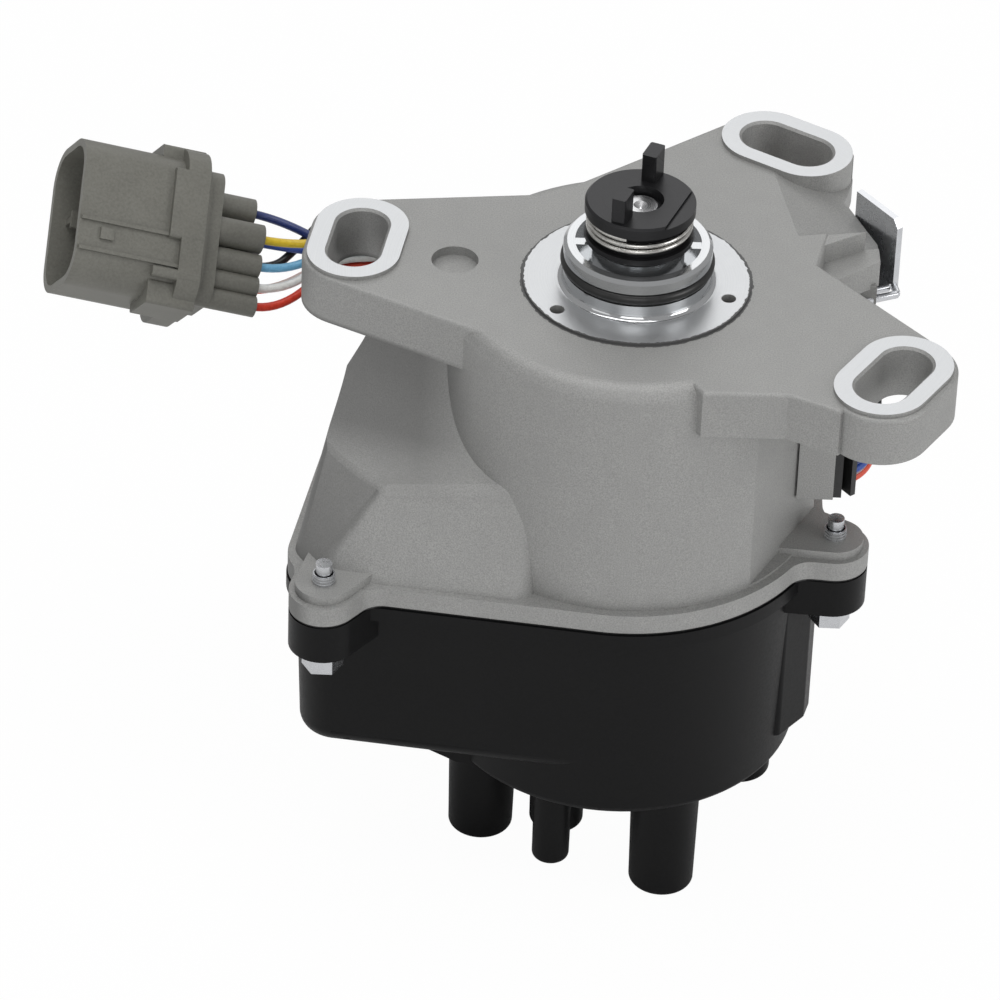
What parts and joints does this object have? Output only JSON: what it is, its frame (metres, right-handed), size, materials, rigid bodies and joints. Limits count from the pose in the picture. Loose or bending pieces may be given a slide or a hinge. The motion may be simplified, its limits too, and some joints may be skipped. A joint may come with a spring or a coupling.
{
  "type": "ignition distributor",
  "caption": "Ignition distributor: die-cast housing with slotted mounting ears, turning drive coupling, moulded cap with lead towers, inner coil, and a wired loom connector.",
  "frame": {"origin": "on the shaft's axis, in the plane of the mounting ears' machined faces", "axes": "+Z along the shaft to the drive coupling, +X to the right seen from the front with the coil pocket on the left, +Y to the back where the wires run"},
  "size_m": [0.2096, 0.1228, 0.1795],
  "materials": {
    "cast_aluminium": "grainy die-cast surface with bright machined faces",
    "turned_steel": "ground and turned steel",
    "spring_steel": "bright drawn wire",
    "dark_steel": "blackened steel",
    "zinc_plate": "bright zinc-plated sheet and screws",
    "sintered_iron": "fine grey sintered iron",
    "cap_plastic": "near-black satin moulding",
    "rotor_plastic": "near-black satin moulding",
    "coil_resin": "black cast resin",
    "module_plastic": "black moulding",
    "rubber_black": "soft matt rubber",
    "brass": "plain brass",
    "terminal_aluminium": "plain cast terminals",
    "carbon": "pressed carbon",
    "connector_plastic": "dull grey-olive moulding",
    "tin_plate": "tin-plated contacts",
    "seal_silicone": "soft silicone",
    "wire_yellow": "smooth wire insulation",
    "wire_light_blue": "smooth wire insulation",
    "wire_white": "smooth wire insulation",
    "wire_red": "smooth wire insulation",
    "wire_dark_blue": "smooth wire insulation",
    "wire_blue": "smooth wire insulation",
    "wire_black": "smooth wire insulation",
    "wire_red_white": "smooth wire insulation with a stripe"
  },
  "bodies": {
    "body": {"housing": "cast_aluminium", "pilot_o_ring": "rubber_black", "shaft_bush": "brass", "oil_seal": "rubber_black", "bearing_outer_ring": "turned_steel", "bearing_circlip": "dark_steel", "pickup_base": "zinc_plate", "base_screws": "zinc_plate", "leak_cover": "module_plastic", "cover_screws": "zinc_plate", "crank_pickup": "module_plastic", "tdc_pickup": "module_plastic", "cylinder_pickup": "module_plastic", "module_heat_sink": "cast_aluminium", "ignition_module": "module_plastic", "module_screws": "zinc_plate", "noise_condenser": "zinc_plate", "coil_core": "dark_steel", "coil_body": "coil_resin", "coil_screws": "zinc_plate", "coil_terminals": "brass", "cap_seal": "rubber_black", "centre_conductor": "brass", "cap_terminals": "terminal_aluminium", "distributor_cap": "cap_plastic", "cap_screws": "zinc_plate", "cap_washers": "zinc_plate", "harness_bracket": "zinc_plate", "bracket_screw": "zinc_plate", "connector_housing": "connector_plastic", "wire_seals": "seal_silicone", "connector_pins": "tin_plate", "wire_grommet": "rubber_black", "wire_yellow": "wire_yellow", "wire_light_blue": "wire_light_blue", "wire_white": "wire_white", "wire_red": "wire_red", "wire_dark_blue": "wire_dark_blue", "wire_blue": "wire_blue", "wire_black": "wire_black", "wire_red_white": "wire_red_white"},
    "rotor": {"shaft": "turned_steel", "bearing_inner_ring": "turned_steel", "bearing_balls": "turned_steel", "drive_coupling": "dark_steel", "coupling_pin": "turned_steel", "coupling_spring": "spring_steel", "thrust_washer": "turned_steel", "crank_reluctor": "sintered_iron", "tdc_reluctor": "sintered_iron", "cylinder_reluctor": "sintered_iron", "reluctor_spacers": "turned_steel", "rotor_arm": "rotor_plastic", "rotor_blade": "brass", "rotor_screw": "zinc_plate"},
    "brush": {"carbon_brush": "carbon", "brush_spring": "turned_steel"}
  },
  "joints": [
    {"name": "shaft_spin", "type": "hinge", "parent": "body", "child": "rotor", "pos_m": [0, 0, 0], "axis": [0, 0, 1], "continuous": true},
    {"name": "brush_slide", "type": "slide", "parent": "body", "child": "brush", "axis": [0, 0, -1], "range_m": [0, 0.001], "stiffness_N_per_m": 200, "deforming": ["brush_spring"]}
  ]
}
